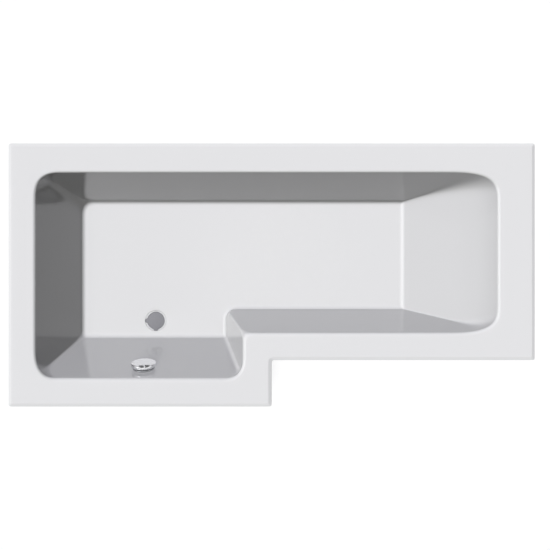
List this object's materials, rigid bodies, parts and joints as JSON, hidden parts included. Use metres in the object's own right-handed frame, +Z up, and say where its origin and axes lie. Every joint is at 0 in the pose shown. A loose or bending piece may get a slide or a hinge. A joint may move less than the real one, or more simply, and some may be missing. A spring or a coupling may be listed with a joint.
{
  "type": "shower bath",
  "caption": "L-shaped acrylic shower bath with a wide shower end and sloping backrest, on levelling feet, with a plug lifted by its overflow knob.",
  "frame": {"origin": "under the middle of the plan, on the floor the feet stand on", "axes": "+X from the shower end to the backrest end, +Y from the front to the wall side, +Z up"},
  "size_m": [1.7, 0.85, 0.54],
  "materials": {
    "acrylic": "polished white acrylic",
    "chipboard": "raw particle board",
    "timber": "planed softwood",
    "zinc_steel": "zinc plated",
    "black_nylon": "moulded nylon",
    "chrome": "polished chrome plate",
    "satin_plug": "satin plated",
    "rubber": "moulded rubber",
    "polypropylene": "moulded polypropylene",
    "hose": "blow-moulded hose",
    "cable_sheath": "extruded sheath",
    "brass": "turned brass",
    "acetal": "moulded acetal"
  },
  "bodies": {
    "bath": {"bath_shell": "acrylic", "base_board": "chipboard", "back_batten": "timber", "shower_end_batten": "timber", "backrest_end_batten": "timber", "wide_front_batten": "timber", "step_batten": "timber", "narrow_front_batten": "timber", "shower_rail": "zinc_steel", "backrest_rail": "zinc_steel", "centre_foot_bracket": "zinc_steel", "rail_screws": "zinc_steel", "weld_nuts": "zinc_steel", "lock_nuts": "zinc_steel", "wall_brackets": "zinc_steel", "bracket_screws": "zinc_steel", "waste_flange": "chrome", "waste_top_seal": "rubber", "waste_lower_seal": "rubber", "waste_body": "polypropylene", "overflow_front_seal": "rubber", "overflow_back_seal": "rubber", "overflow_flange": "chrome", "overflow_body": "polypropylene", "overflow_hose": "hose", "hose_nuts": "polypropylene", "control_cable": "cable_sheath", "cable_ferrules": "brass"},
    "knob": {"overflow_knob": "chrome", "knob_spindle": "brass", "spindle_crank": "acetal"},
    "plug": {"plug_cap": "satin_plug", "plug_seal": "rubber", "plug_stem": "brass"},
    "rocker": {"lift_rocker": "acetal"},
    "foot_1": {"levelling_stud_1": "zinc_steel", "foot_pad_1": "black_nylon"},
    "foot_2": {"levelling_stud_2": "zinc_steel", "foot_pad_2": "black_nylon"},
    "foot_3": {"levelling_stud_3": "zinc_steel", "foot_pad_3": "black_nylon"},
    "foot_4": {"levelling_stud_4": "zinc_steel", "foot_pad_4": "black_nylon"},
    "foot_5": {"levelling_stud_5": "zinc_steel", "foot_pad_5": "black_nylon"}
  },
  "joints": [
    {"name": "knob_turn", "type": "hinge", "parent": "bath", "child": "knob", "pos_m": [-0.427, -0.31234, 0.452], "axis": [0, 0.9684, 0.2494], "range_deg": [0, 90]},
    {"name": "plug_lift", "type": "slide", "parent": "bath", "child": "plug", "axis": [0, 0, 1], "range_m": [0, 0.01]},
    {"name": "rocker_swing", "type": "hinge", "parent": "bath", "child": "rocker", "pos_m": [-0.435, -0.151, 0.097], "axis": [-1, 0, 0], "range_deg": [0, 29]},
    {"name": "foot_1_level", "type": "slide", "parent": "bath", "child": "foot_1", "axis": [0, 0, 1], "range_m": [-0.015, 0.015]},
    {"name": "foot_2_level", "type": "slide", "parent": "bath", "child": "foot_2", "axis": [0, 0, 1], "range_m": [-0.015, 0.015]},
    {"name": "foot_3_level", "type": "slide", "parent": "bath", "child": "foot_3", "axis": [0, 0, 1], "range_m": [-0.015, 0.015]},
    {"name": "foot_4_level", "type": "slide", "parent": "bath", "child": "foot_4", "axis": [0, 0, 1], "range_m": [-0.015, 0.015]},
    {"name": "foot_5_level", "type": "slide", "parent": "bath", "child": "foot_5", "axis": [0, 0, 1], "range_m": [-0.015, 0.015]}
  ],
  "couplings": [
    {"joint": "plug_lift", "follows": "knob_turn", "m_per_rad": 0.00636},
    {"joint": "rocker_swing", "follows": "knob_turn", "ratio": 0.3215}
  ]
}
